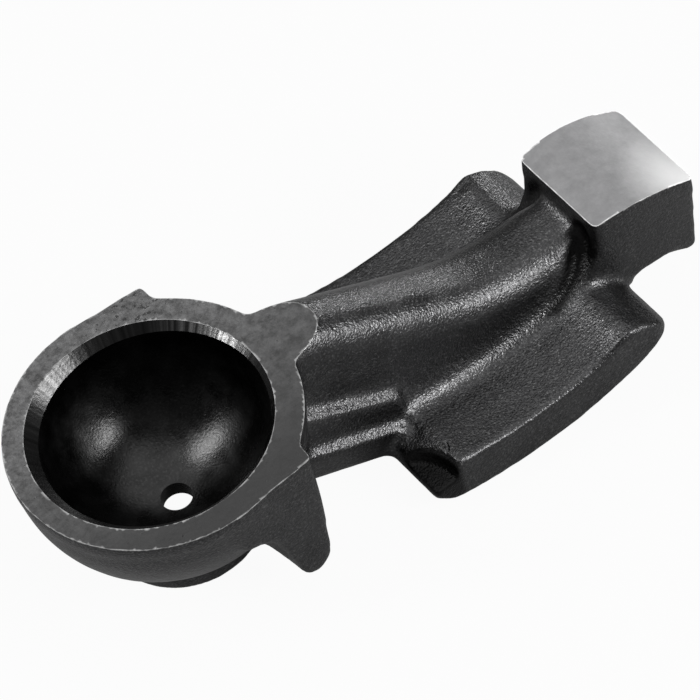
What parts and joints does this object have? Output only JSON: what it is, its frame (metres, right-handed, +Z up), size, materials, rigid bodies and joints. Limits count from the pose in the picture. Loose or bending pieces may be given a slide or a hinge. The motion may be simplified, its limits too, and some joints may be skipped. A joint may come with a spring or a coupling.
{
  "type": "rocker arm",
  "caption": "Cast rocker arm: ball-socket cup with side lugs, ridged neck, wide curved cam pad and crowned valve pad.",
  "frame": {"origin": "centre of the half-ball seat in the cup", "axes": "+X from the cup towards the valve pad, +Z up with the arm standing on its boss and cam pad, Y across the arm, which is the same on both sides of the XZ plane"},
  "size_m": [0.0566, 0.0218, 0.0154],
  "materials": {
    "casting": "dark cast skin, ground rim and valve pad"
  },
  "bodies": {
    "root": {"rocker_arm": "casting"}
  },
  "joints": []
}
